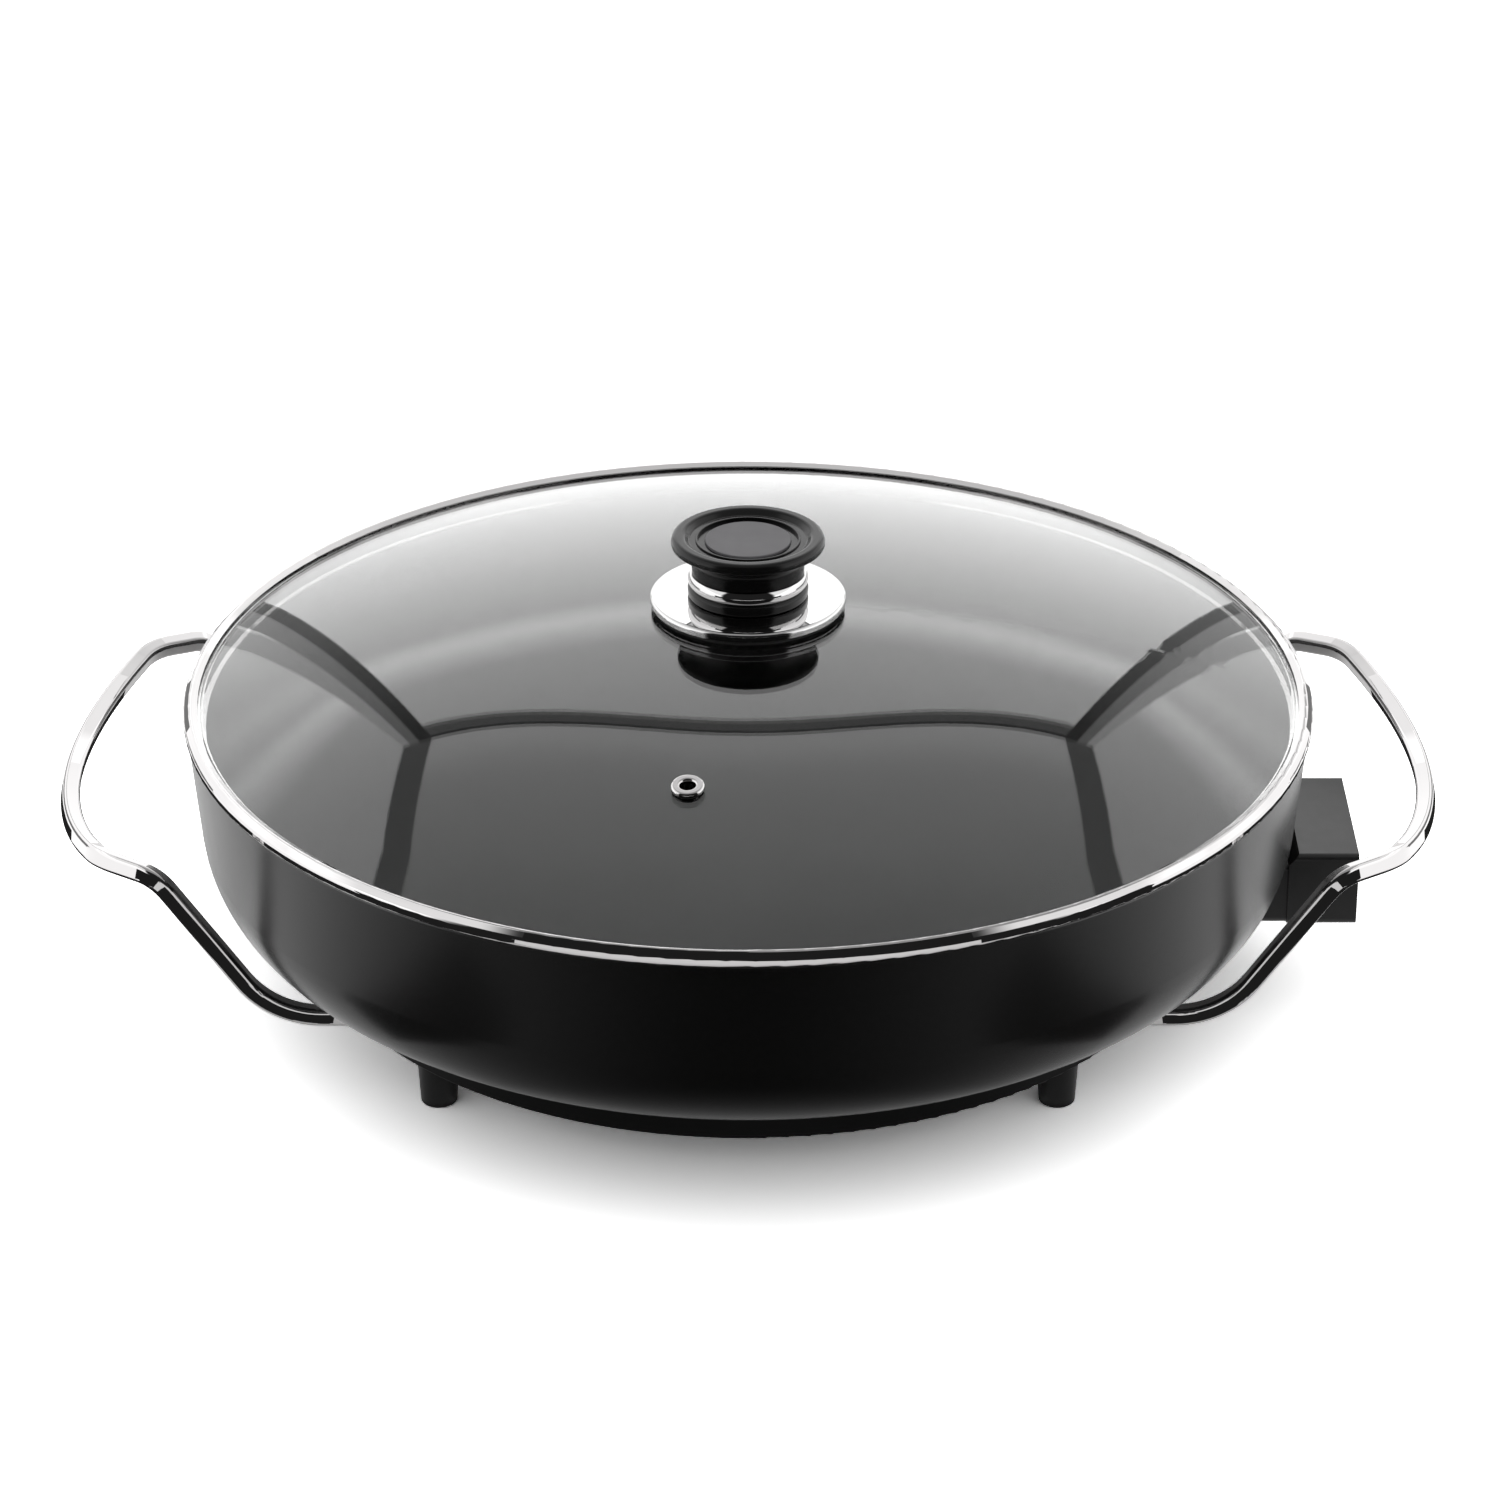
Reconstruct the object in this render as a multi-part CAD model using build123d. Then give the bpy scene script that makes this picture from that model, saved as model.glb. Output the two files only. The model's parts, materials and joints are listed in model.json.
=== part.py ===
from build123d import *
import math
import os

# Electric pizza pan: a round cast pan with a heating ring underneath, a glass lid in a steel rim,
# two bent square-bar handles, a socket for a plug-in thermostat, a bottom cover and four feet.
# Millimetres. The origin is on the table under the middle of the pan, +Z is up, +X is the socket side
# and -Y is the front.

# Pan
rim_radius = 202.0
rim_overhang = 1.0
pan_depth = 76.6
wall_draft = 3.8
wall_thickness = 4.0
floor_thickness = 5.0
bend_height = 35.2
bend_reach = 39.2
bend_wall_handle = 18.0
bend_floor_handle = 22.0
rim_rounding = 0.8

# Bottom cover and feet
foot_height = 24.0
foot_top_radius = 7.8
foot_bottom_radius = 6.4
foot_edge_rounding = 1.0
foot_recess_depth = 12.0
foot_inset = 16.7
foot_angle = 40.0
cover_depth = 13.6
cover_sheet = 1.2
cover_step = 1.0
cover_flare = 2.2
cover_rounding = 1.5
cover_top_gap = 0.2
notch_clearance = 0.8
post_radius = 6.0

# Screws
screw_radius = 2.0
screw_head_radius = 3.4
screw_head_height = 2.2
screw_head_rounding = 0.8
screw_bite = 3.2
screw_clearance = 0.2
thread_clearance = 0.05

# Handles
bar_width = 6.5
bar_rounding = 1.7
eye_radius = 7.0
leg_run = 57.5
leg_spread = 4.5
incline_reach = 37.4
incline_rise = 56.9
incline_foot_bend = 32.0
incline_top_bend = 11.0
corner_reach = 20.2
corner_draw = 11.5
corner_lift = 1.3
corner_bend = 21.5
grip_reach = 19.8
grip_drop = 8.7
grip_arc_run = 40.5
grip_flat = 0.2

# Heating ring
tube_radius = 3.3
ring_eye_clearance = 20.0
ring_corner_bend = 14.0
lead_spacing = 14.0
lead_bend = 8.0
lead_clearance = 1.0
lead_end = 4.0
clip_width = 10.0
clip_sheet = 1.0
clip_ear = 9.0
clip_clearance = 0.1
clip_angles = (90.0, 180.0, 270.0)

# Socket
seam_inset = 3.2
hood_length = 25.0
hood_width = 64.0
hood_height = 28.0
hood_lift = 0.2
hood_wall = 2.2
hood_rounding = 2.5
hood_bevel = 3.6
base_inset = 1.2
base_drop = 4.6
base_reach = 36.0
seat_clearance = 0.1
pin_rise = 11.8
pin_radius = 2.4
pin_stem_radius = 1.8
pin_tip_rounding = 1.4
pin_setback = 5.0
pin_bead_gap = 0.6
bead_radius = 4.6
bead_length = 3.2
probe_radius = 3.5
probe_bore = 2.6
probe_depth = 16.0
probe_setback = 6.0
earth_width = 8.0
earth_sheet = 0.6
earth_lift = 4.4
earth_length = 15.0
socket_screw_radius = 1.6
socket_screw_head = 3.0
socket_screw_length = 7.0
socket_screw_inset = 8.0

# Lid
glass_thickness = 2.6
band_sheet = 0.7
band_gap = 0.1
band_rounding = 1.2
band_edge_gap = 0.3
flange_width = 5.1
crest_inset = 2.5
crest_rise = 1.4
crest_rounding = 1.2
shoulder_drop = 2.5
shoulder_rounding = 1.5
lip_inset = 6.8
lip_drop = 6.0
lip_bead = 0.9
lid_seat_gap = 0.1
dome_foot = 6.0
dome_rise = 33.4
dome_hole = 3.2

# Steam vent
vent_radius = 122.4
vent_angle = 260.5
vent_flange_radius = 5.75
vent_bore = 2.6
vent_wall = 0.7
vent_flange_height = 1.5
vent_flange_rounding = 1.05
vent_under_height = 0.8
vent_under_rounding = 0.3
vent_gap = 0.2
vent_seal = 0.5

# Knob
seal_thickness = 0.5
seal_inset = 1.4
plate_radius = 34.9
plate_height = 3.1
plate_rounding = 1.2
plate_step = 0.5
plate_step_height = 0.9
collar_radius = 21.5
collar_height = 4.3
collar_rounding = 1.4
ring_height = 4.8
ring_bulge = 0.9
ring_wall = 5.6
ring_fit = 0.05
neck_inset = 1.4
neck_rounding = 0.6
cap_radius = 27.3
cap_height = 13.8
cap_neck_height = 6.5
flare_rise = 2.9
flare_bend = 4.0
flare_edge_rounding = 1.6
cap_bead = 4.4
bead_lift = 0.6
bead_foot_rounding = 1.2
bead_outer_rounding = 2.0
bead_inner_rounding = 1.8
dish_depth = 1.9
dish_rounding = 0.9
ridge_radius = 18.3
ridge_width = 0.8
ridge_height = 0.6
ridge_rounding = 0.25
badge_radius = 15.3
badge_height = 1.4
badge_rounding = 0.4
badge_fit = 0.1
badge_drop = 1.6
insert_radius = 4.6
insert_height = 6.0
insert_end = 0.6
washer_radius = 8.0
washer_height = 1.0
under_seal_radius = 9.0
under_seal_height = 1.5

# Heights and radii that follow from the sizes above
cover_bottom = foot_height
cover_floor = cover_bottom + cover_sheet
pan_bottom = cover_bottom + cover_depth
pan_top = pan_bottom + pan_depth
pan_rim_radius = rim_radius - rim_overhang
bend_radius = pan_rim_radius - wall_draft
bend_level = pan_bottom + bend_height
floor_radius = bend_radius - bend_reach
cover_radius = floor_radius + cover_step
foot_circle = cover_radius - foot_inset
foot_x = foot_circle * math.cos(math.radians(foot_angle))
foot_y = foot_circle * math.sin(math.radians(foot_angle))
bar_level = pan_bottom - bar_width / 2
tube_level = pan_bottom - tube_radius
ring_radius = foot_circle - eye_radius - ring_eye_clearance - tube_radius
seam_x = bend_radius - seam_inset
hood_bottom = pan_bottom + hood_lift
hood_top = hood_bottom + hood_height
hood_end = seam_x + hood_length
hood_back = seam_x + hood_wall
pin_level = hood_bottom + pin_rise
lead_tip = hood_back + lead_end
bead_end = lead_tip + bead_length
band_bottom = pan_top + lid_seat_gap
brim_bottom = band_bottom + band_sheet + band_gap
brim_top = brim_bottom + glass_thickness
flange_level = brim_top + band_gap + band_sheet
crest_level = flange_level + crest_rise
shoulder_level = crest_level - shoulder_drop
dome_foot_radius = rim_radius - dome_foot
dome_radius = (dome_foot_radius ** 2 + dome_rise ** 2) / (2 * dome_rise)
crown = brim_top + dome_rise
dome_centre = crown - dome_radius
crown_inside = crown - glass_thickness
plate_bottom = crown + seal_thickness
plate_top = plate_bottom + plate_height
collar_top = plate_top + collar_height
ring_top = collar_top + ring_height
cap_top = ring_top + cap_height
neck_radius = collar_radius - neck_inset
spigot_radius = collar_radius - ring_wall
insert_top = ring_top + insert_height


def rounded_path(corners, closed=False):
    """Straight runs joined by tangent arcs. Each corner is a point and its rounding."""
    count = len(corners)
    arrivals = []
    departures = []
    arcs = []
    for index, (point, rounding) in enumerate(corners):
        here = Vector(*point)
        at_end = not closed and index in (0, count - 1)
        if rounding == 0 or at_end:
            arrivals.append(here)
            departures.append(here)
            arcs.append(None)
            continue
        back = (Vector(*corners[index - 1][0]) - here).normalized()
        ahead = (Vector(*corners[(index + 1) % count][0]) - here).normalized()
        half_angle = math.radians(back.get_angle(ahead)) / 2
        reach = rounding / math.tan(half_angle)
        inward = (back + ahead).normalized()
        centre = here + inward * (rounding / math.sin(half_angle))
        arrivals.append(here + back * reach)
        departures.append(here + ahead * reach)
        arcs.append(Edge.make_three_point_arc(arrivals[-1], centre - inward * rounding, departures[-1]))
    edges = []
    for index in range(count):
        if arcs[index] is not None:
            edges.append(arcs[index])
        following = (index + 1) % count
        if following == 0 and not closed:
            break
        if (arrivals[following] - departures[index]).length > 1e-4:
            edges.append(Edge.make_line(departures[index], arrivals[following]))
    return Wire(edges)


def turned(outline):
    """A body turned about the Z axis. The outline lists radius, height and corner rounding."""
    corners = [((radius, 0, height), rounding) for radius, height, rounding in outline]
    return revolve(make_face(rounded_path(corners, closed=True)), Axis.Z)


def rod(radius, bottom, top):
    """An upright cylinder on the Z axis."""
    return Pos(0, 0, (bottom + top) / 2) * Cylinder(radius, top - bottom)


def bar_along_x(radius, start, end, y, z):
    """A cylinder along the X axis."""
    return Pos((start + end) / 2, y, z) * Rot(0, 90, 0) * Cylinder(radius, end - start)


def block(x_range, y_range, z_range):
    """A box between two limits on each axis."""
    middle = [(low + high) / 2 for low, high in (x_range, y_range, z_range)]
    size = [high - low for low, high in (x_range, y_range, z_range)]
    return Pos(*middle) * Box(*size)


def bend_points(grow=0.0):
    """Control points of the bend between the pan's wall and its underside."""
    slope = wall_draft / (pan_top - bend_level)
    return [
        (bend_radius + grow, 0, bend_level),
        (bend_radius + grow - slope * bend_wall_handle, 0, bend_level - bend_wall_handle),
        (floor_radius + bend_floor_handle + grow, 0, pan_bottom - grow),
        (floor_radius, 0, pan_bottom - grow),
    ]


def pan_envelope(grow):
    """The solid inside the pan's outer surface, grown by a clearance."""
    bend = bend_points(grow)
    edges = [
        Edge.make_line((0, 0, pan_top), (pan_rim_radius + grow, 0, pan_top)),
        Edge.make_line((pan_rim_radius + grow, 0, pan_top), bend[0]),
        Edge.make_bezier(*bend),
        Edge.make_line(bend[-1], (0, 0, pan_bottom - grow)),
        Edge.make_line((0, 0, pan_bottom - grow), (0, 0, pan_top)),
    ]
    return revolve(make_face(Wire(edges)), Axis.Z)


def foot_points():
    """Centres of the four feet: front left, front right, rear left, rear right."""
    return {
        "front_left": (-foot_x, -foot_y),
        "front_right": (foot_x, -foot_y),
        "rear_left": (-foot_x, foot_y),
        "rear_right": (foot_x, foot_y),
    }


# Pan
def pan_body():
    """The cast pan: one drawn wall that bends into a flat floor, with a centre post underneath."""
    inner_level = pan_bottom + floor_thickness
    outer = bend_points()
    inner = [
        (outer[0][0] - wall_thickness, 0, outer[0][2]),
        (outer[1][0] - wall_thickness, 0, outer[1][2]),
        (outer[2][0] - wall_thickness, 0, inner_level),
        (outer[3][0] - wall_thickness, 0, inner_level),
    ]
    edges = [
        Edge.make_line((pan_rim_radius, 0, pan_top), outer[0]),
        Edge.make_bezier(*outer),
        Edge.make_line(outer[3], (0, 0, pan_bottom)),
        Edge.make_line((0, 0, pan_bottom), (0, 0, inner_level)),
        Edge.make_line((0, 0, inner_level), inner[3]),
        Edge.make_bezier(*reversed(inner)),
        Edge.make_line(inner[0], (pan_rim_radius - wall_thickness, 0, pan_top)),
        Edge.make_line((pan_rim_radius - wall_thickness, 0, pan_top), (pan_rim_radius, 0, pan_top)),
    ]
    body = revolve(make_face(Wire(edges)), Axis.Z)
    rim_edges = body.edges().filter_by(GeomType.CIRCLE).group_by(Axis.Z)[-1]
    body = fillet(rim_edges, rim_rounding)
    body += rod(post_radius, cover_floor, pan_bottom + rim_rounding)
    hole_radius = screw_radius + thread_clearance
    hole_end = pan_bottom + screw_bite + screw_clearance
    body -= rod(hole_radius, cover_bottom, hole_end)
    for x, y in foot_points().values():
        body -= Pos(x, y, 0) * rod(hole_radius, cover_bottom, hole_end)
    return body


# Bottom cover
def bottom_cover():
    """A shallow dish under the pan with notches for the handle legs and the heating leads."""
    top = pan_bottom - cover_top_gap
    outer_top = cover_radius + cover_flare
    dish = turned([
        (0, cover_bottom, 0),
        (cover_radius, cover_bottom, cover_rounding),
        (outer_top, top, 0),
        (outer_top - cover_sheet, top, 0),
        (cover_radius - cover_sheet, cover_floor, cover_rounding / 2),
        (0, cover_floor, 0),
    ])
    half_notch = bar_width / 2 + notch_clearance
    for x, y in foot_points().values():
        side = math.copysign(1, x)
        run = sorted((x, side * (outer_top + notch_clearance)))
        dish -= block(run, (y - half_notch, y + half_notch), (bar_level - half_notch, pan_bottom))
        dish -= Pos(x, y, 0) * rod(screw_radius + screw_clearance, 0, pan_bottom)
    lead_half = lead_spacing + tube_radius + notch_clearance
    dish -= block((ring_radius, outer_top + notch_clearance), (-lead_half, lead_half),
                  (tube_level - tube_radius - notch_clearance, pan_bottom))
    dish -= rod(screw_radius + screw_clearance, 0, pan_bottom)
    return dish


def foot():
    """A tapered foot with a recess for its screw."""
    body = turned([
        (0, 0, 0),
        (foot_bottom_radius, 0, foot_edge_rounding),
        (foot_top_radius, foot_height, 0),
        (0, foot_height, 0),
    ])
    body -= rod(screw_head_radius + screw_clearance, 0, foot_recess_depth)
    body -= rod(screw_radius + screw_clearance, 0, foot_height)
    return body


def screw(head_bottom, tip):
    """A pan-head screw that points up."""
    head = rod(screw_head_radius, head_bottom, head_bottom + screw_head_height)
    head = fillet(head.edges().filter_by(GeomType.CIRCLE).group_by(Axis.Z)[0], screw_head_rounding)
    return head + rod(screw_radius, head_bottom + screw_head_height / 2, tip)


def spacer():
    """A sleeve between the bottom cover and a handle's eye."""
    sleeve = rod(post_radius, cover_floor, bar_level - bar_width / 2)
    return sleeve - rod(screw_radius + screw_clearance, cover_bottom, pan_bottom)


# Handles
def handle():
    """The left handle: a square bar bent into a loop, with an eye at each end over a foot."""
    leg_foot = (-foot_x - leg_run, -foot_y, bar_level)
    leg_top = (leg_foot[0] - incline_reach, leg_foot[1] - leg_spread, bar_level + incline_rise)
    corner = (leg_top[0] - corner_reach, leg_top[1] + corner_draw, leg_top[2] + corner_lift)
    grip_x = corner[0] - grip_reach
    grip_z = corner[2] - grip_drop
    middle = (grip_x, 0, grip_z)
    grip_corner = (grip_x, -grip_arc_run, grip_z)
    turn = Vector(0, -1, 0).get_angle(Vector(*corner) - Vector(*grip_corner))
    grip_bend = (grip_arc_run - grip_flat) / math.tan(math.radians(turn) / 2)
    end = (-foot_x, -foot_y, bar_level)
    path = rounded_path([
        (end, 0),
        (leg_foot, incline_foot_bend),
        (leg_top, incline_top_bend),
        (corner, corner_bend),
        (grip_corner, grip_bend),
        (middle, 0),
    ])
    start = Plane(end, x_dir=(0, 1, 0), z_dir=(-1, 0, 0))
    half = sweep(start * RectangleRounded(bar_width, bar_width, bar_rounding), path=path)
    half += Pos(*end) * Cylinder(eye_radius, bar_width)
    half -= Pos(*end) * Cylinder(screw_radius + screw_clearance, 2 * bar_width)
    return half + mirror(half, Plane.XZ)


# Heating ring
def lead_corners():
    """Corner points of one heating lead in the XZ plane, clear of the pan's bend."""
    start, first, second, end = [Vector(*point) for point in bend_points()]
    on_bend = (start + first * 3 + second * 3 + end) / 8
    along = (start + first - second - end).normalized()
    outward = Vector(along.Z, 0, -along.X)
    through = on_bend + outward * (tube_radius + lead_clearance)
    slope = along.Z / along.X
    low_x = through.X - (through.Z - tube_level) / slope
    high_x = through.X + (pin_level - through.Z) / slope
    return low_x, high_x


def lead_path(side):
    """The lead from the ring's end out to the socket."""
    low_x, high_x = lead_corners()
    y = side * lead_spacing
    ring_x = math.sqrt(ring_radius ** 2 - lead_spacing ** 2)
    return [
        ((ring_x, y, tube_level), 0),
        ((low_x, y, tube_level), lead_bend),
        ((high_x, y, pin_level), lead_bend),
        ((lead_tip, y, pin_level), 0),
    ]


def heating_element():
    """A tubular ring under the pan whose two ends run out to the socket."""
    bend_y = lead_spacing + ring_corner_bend
    bend_circle = ring_radius - ring_corner_bend
    bend_x = math.sqrt(bend_circle ** 2 - bend_y ** 2)
    swing = math.atan2(bend_y, bend_x)
    touch = (ring_radius * math.cos(swing), ring_radius * math.sin(swing), tube_level)
    middle_turn = (swing - math.pi / 2) / 2
    bulge = (bend_x + ring_corner_bend * math.cos(middle_turn),
             bend_y + ring_corner_bend * math.sin(middle_turn), tube_level)
    leave = (bend_x, lead_spacing, tube_level)
    half_arc = Edge.make_three_point_arc((-ring_radius, 0, tube_level), (0, ring_radius, tube_level), touch)
    corner = Edge.make_three_point_arc(touch, bulge, leave)
    lead = rounded_path([(leave, 0)] + lead_path(1)[1:])
    path = Wire([half_arc, corner] + list(lead.edges()))
    section = Plane((-ring_radius, 0, tube_level), z_dir=(0, 1, 0)) * Circle(tube_radius)
    half = sweep(section, path=path)
    return half + mirror(half, Plane.XZ)


def lead_channel(side):
    """The room that a heating lead needs in the socket's base."""
    path = rounded_path(lead_path(side))
    start = path.position_at(0)
    section = Plane(start, z_dir=(1, 0, 0)) * Circle(tube_radius + lead_clearance / 2)
    return sweep(section, path=path)


def element_clip(angle):
    """A bent strap that holds the heating ring up against the pan."""
    inner = tube_radius + clip_clearance
    outer = inner + clip_sheet
    tunnel = Cylinder(outer, clip_width) - Cylinder(inner, clip_width)
    tunnel = Rot(90, 0, 0) * tunnel
    tunnel -= block((-outer, outer), (-clip_width, clip_width), (0, outer))
    sides = block((-outer, outer), (-clip_width / 2, clip_width / 2), (0, tube_radius))
    sides -= block((-inner, inner), (-clip_width, clip_width), (-tube_radius, tube_radius))
    ears = block((-outer - clip_ear, outer + clip_ear), (-clip_width / 2, clip_width / 2),
                 (tube_radius - clip_sheet, tube_radius))
    ears -= block((-inner, inner), (-clip_width, clip_width), (0, tube_radius))
    return Rot(0, 0, angle) * Pos(ring_radius, 0, tube_level) * (tunnel + sides + ears)


# Socket
def socket_base():
    """The block between the pan's bend and the socket's hood."""
    half = hood_width / 2 - base_inset
    body = block((seam_x - base_reach, seam_x), (-half, half), (hood_bottom, hood_top - base_drop))
    body = fillet(body.edges().filter_by(Axis.X), hood_rounding)
    body -= pan_envelope(seat_clearance)
    for side in (-1, 1):
        body -= lead_channel(side)
        body -= bar_along_x(socket_screw_radius + thread_clearance, seam_x - socket_screw_length,
                            seam_x, side * (hood_width / 2 - socket_screw_inset), pin_level)
    body -= bar_along_x(probe_radius + seat_clearance, seam_x - base_reach, seam_x, 0, pin_level)
    return body


def socket_hood():
    """The hood round the socket: a box that is open at its outer end."""
    half = hood_width / 2
    body = block((seam_x, hood_end), (-half, half), (hood_bottom, hood_top))
    body = fillet(body.edges().filter_by(Axis.X), hood_rounding)
    bevel = [
        ((seam_x, -hood_width, hood_top), 0),
        ((seam_x + hood_bevel, -hood_width, hood_top), 0),
        ((seam_x, -hood_width, hood_top - hood_bevel), 0),
    ]
    body -= extrude(make_face(rounded_path(bevel, closed=True)), 2 * hood_width, dir=(0, 1, 0))
    hollow = block((hood_back, hood_end), (-half + hood_wall, half - hood_wall),
                   (hood_bottom + hood_wall, hood_top - hood_wall))
    body -= fillet(hollow.edges().filter_by(Axis.X), hood_rounding - hood_wall / 2)
    for side in (-1, 1):
        body -= bar_along_x(tube_radius + seat_clearance, seam_x, hood_back, side * lead_spacing, pin_level)
        body -= bar_along_x(socket_screw_radius + screw_clearance, seam_x, hood_back,
                            side * (half - socket_screw_inset), pin_level)
    body -= bar_along_x(probe_radius + seat_clearance, seam_x, hood_back, 0, pin_level)
    body -= pan_envelope(seat_clearance)
    return body


def socket_screw(side):
    """A screw that holds the hood to its base."""
    y = side * (hood_width / 2 - socket_screw_inset)
    tip = seam_x - socket_screw_length + screw_clearance
    shank = bar_along_x(socket_screw_radius, tip, hood_back, y, pin_level)
    return shank + bar_along_x(socket_screw_head, hood_back, hood_back + socket_screw_radius, y, pin_level)


def terminal_bead(side):
    """A ceramic bead on the end of a heating lead."""
    y = side * lead_spacing
    bead = bar_along_x(bead_radius, lead_tip, bead_end, y, pin_level)
    return bead - bar_along_x(pin_stem_radius + thread_clearance, lead_tip, bead_end, y, pin_level)


def terminal_pin(side):
    """A round contact pin with a rounded tip and a thinner stem through its bead."""
    y = side * lead_spacing
    shoulder = bead_end + pin_bead_gap
    pin = bar_along_x(pin_radius, shoulder, hood_end - pin_setback, y, pin_level)
    tip = pin.edges().filter_by(GeomType.CIRCLE).group_by(Axis.X)[-1]
    return fillet(tip, pin_tip_rounding) + bar_along_x(pin_stem_radius, lead_tip, shoulder, y, pin_level)


def probe_tube():
    """A blind tube that takes the thermostat's sensor and rests on the pan's wall."""
    mouth = hood_end - probe_setback
    body = bar_along_x(probe_radius, seam_x - base_reach, mouth, 0, pin_level)
    body -= pan_envelope(seat_clearance)
    body -= bar_along_x(probe_bore, mouth - probe_depth, mouth, 0, pin_level)
    return body


def earth_contact():
    """A bent spring strip over the sensor tube."""
    level = pin_level + probe_radius + earth_lift
    half = earth_width / 2
    foot_plate = block((hood_back, hood_back + earth_sheet), (-half, half),
                       (pin_level + probe_radius + earth_sheet, level))
    tongue = block((hood_back, hood_back + earth_length), (-half, half), (level - earth_sheet, level))
    return foot_plate + tongue


# Lid
def dome_height(radius, sphere):
    """Height of the dome's surface at a distance from the axis."""
    return dome_centre + math.sqrt(sphere ** 2 - radius ** 2)


def sheet_inside(outer):
    """Points one sheet to the right of a bent line: its start, and each corner between its two ends."""
    runs = [(Vector(*after) - Vector(*before)).normalized() for before, after in zip(outer, outer[1:])]
    sides = [Vector(run.Y, -run.X) for run in runs]
    inside = [Vector(*outer[0]) + sides[0] * band_sheet]
    for point, first, second in zip(outer[1:], sides, sides[1:]):
        inside.append(Vector(*point) + (first + second) * (band_sheet / (1 + first.dot(second))))
    return [(point.X, point.Y) for point in inside]


def lid_rim_band():
    """The steel rim: a bead rolled over the glass's edge and a lip that hangs inside the pan."""
    lip_outer = rim_radius - lip_inset
    lip_inner = lip_outer - band_sheet
    lip_bottom = band_bottom - lip_drop
    bead = [
        (rim_radius - flange_width, flange_level),
        (rim_radius - crest_inset, crest_level),
        (rim_radius, shoulder_level),
        (rim_radius, band_bottom),
        (lip_outer, band_bottom),
    ]
    roundings = (0, crest_rounding, shoulder_rounding, band_rounding)
    inside = list(zip(sheet_inside(bead), roundings))
    return turned([
        *[(*point, rounding) for point, rounding in zip(bead, roundings)],
        (lip_outer, band_bottom, 0),
        (lip_outer, lip_bottom, 0),
        (lip_inner - lip_bead, lip_bottom, 0),
        (lip_inner - lip_bead, lip_bottom + lip_bead, 0),
        (lip_inner, lip_bottom + lip_bead, 0),
        (lip_inner, band_bottom + band_sheet, 0),
        *[(*point, max(rounding - band_sheet, 0)) for point, rounding in reversed(inside)],
    ])


def vent_place():
    """The vent's place on the dome, with its axis square to the glass."""
    angle = math.radians(vent_angle)
    x = vent_radius * math.cos(angle)
    y = vent_radius * math.sin(angle)
    z = dome_height(vent_radius, dome_radius)
    outward = Vector(x, y, z - dome_centre).normalized()
    return Location(Plane((x, y, z), z_dir=outward))


def lid_glass():
    """The domed glass with a flat brim, a knob hole and a vent hole."""
    edge_radius = rim_radius - band_sheet - band_edge_gap
    inner_sphere = dome_radius - glass_thickness
    inner_foot = math.sqrt(inner_sphere ** 2 - (brim_bottom - dome_centre) ** 2)
    half_out = dome_foot_radius / 2
    half_in = inner_foot / 2
    middle_out = (half_out, 0, dome_height(half_out, dome_radius))
    middle_in = (half_in, 0, dome_height(half_in, inner_sphere))
    edges = [
        Edge.make_three_point_arc((0, 0, crown), middle_out, (dome_foot_radius, 0, brim_top)),
        Edge.make_line((dome_foot_radius, 0, brim_top), (edge_radius, 0, brim_top)),
        Edge.make_line((edge_radius, 0, brim_top), (edge_radius, 0, brim_bottom)),
        Edge.make_line((edge_radius, 0, brim_bottom), (inner_foot, 0, brim_bottom)),
        Edge.make_three_point_arc((inner_foot, 0, brim_bottom), middle_in, (0, 0, crown_inside)),
        Edge.make_line((0, 0, crown_inside), (0, 0, crown)),
    ]
    body = revolve(make_face(Wire(edges)), Axis.Z)
    outer_edges = body.edges().filter_by(lambda edge: abs(edge.radius - edge_radius) < 1e-3
                                         if edge.geom_type == GeomType.CIRCLE else False)
    body = fillet(outer_edges, band_rounding - band_sheet)
    body -= rod(dome_hole, crown_inside - glass_thickness, crown + glass_thickness)
    hole = Cylinder(vent_bore + vent_wall + vent_gap, 4 * glass_thickness)
    return body - vent_place() * hole


def vent_eyelet():
    """A flanged steel eyelet in the vent hole."""
    barrel = vent_bore + vent_wall
    under = -glass_thickness - vent_under_height
    lower_flange = vent_flange_radius - vent_wall
    body = turned([
        (vent_bore, under, 0),
        (lower_flange, under, vent_under_rounding),
        (lower_flange, -glass_thickness - vent_gap / 2, 0),
        (barrel, -glass_thickness - vent_gap / 2, 0),
        (barrel, vent_seal, 0),
        (vent_flange_radius, vent_seal, 0),
        (vent_flange_radius, vent_seal + vent_flange_height, vent_flange_rounding),
        (vent_bore, vent_seal + vent_flange_height, vent_flange_rounding),
    ])
    return vent_place() * body


def vent_washer():
    """A soft washer between the eyelet and the glass."""
    inner = vent_bore + vent_wall + vent_gap / 2
    body = rod(vent_flange_radius - vent_gap, 0, vent_seal) - rod(inner, 0, vent_seal)
    body -= Pos(0, 0, -dome_radius) * Sphere(dome_radius)
    return vent_place() * body


# Knob
def knob_seal():
    """A soft disc between the dome and the knob's plate."""
    radius = plate_radius - seal_inset
    body = rod(radius, dome_height(radius, dome_radius) - seal_thickness, plate_bottom)
    body -= rod(dome_hole, crown - dome_rise, plate_bottom)
    return body - Pos(0, 0, dome_centre) * Sphere(dome_radius)


def knob_plate():
    """The polished plate under the knob, with a stepped edge."""
    step_level = plate_bottom + plate_step_height
    return turned([
        (screw_radius + screw_clearance, plate_bottom, 0),
        (plate_radius - plate_step, plate_bottom, 0),
        (plate_radius - plate_step, step_level, 0),
        (plate_radius, step_level, 0),
        (plate_radius, plate_top, plate_rounding),
        (screw_radius + screw_clearance, plate_top, 0),
    ])


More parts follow.
